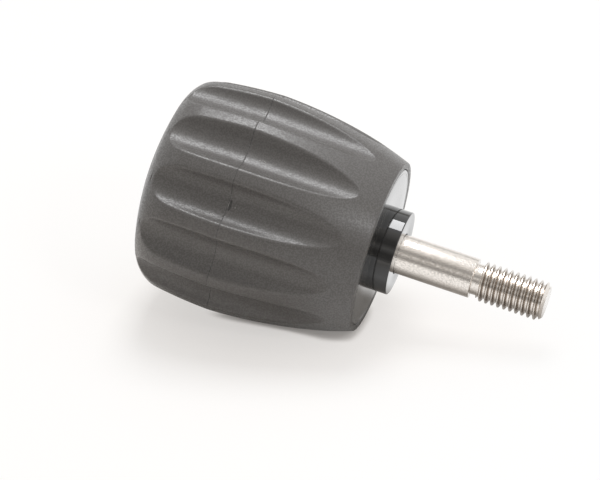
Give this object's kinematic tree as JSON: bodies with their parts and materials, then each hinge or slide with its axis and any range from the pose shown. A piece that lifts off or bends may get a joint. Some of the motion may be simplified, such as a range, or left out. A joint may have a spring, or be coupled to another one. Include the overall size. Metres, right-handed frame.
{
  "type": "fluted stud knob",
  "caption": "Fluted barrel-shaped grip knob with a flush end cover, a black collar and a steel stud threaded at its end, for turning or clamping by hand.",
  "frame": {"origin": "centre of the flat on the knob's head, on the surface that it stands on when it is set down on its head", "axes": "+Z along the knob's axis, from the head to the stud's threaded tip; +X through the middle of a land between two flutes"},
  "size_m": [0.0454, 0.0454, 0.0821],
  "materials": {
    "grip_plastic": "dark warm grey, fine spark-eroded texture with a satin sheen",
    "cover_plastic": "dark grey, smooth and glossy",
    "collar_plastic": "black, glossy",
    "stud_steel": "bright turned and polished steel"
  },
  "bodies": {
    "root": {"knob_body": "grip_plastic", "end_cover": "cover_plastic", "collar": "collar_plastic", "stud": "stud_steel"}
  },
  "joints": []
}
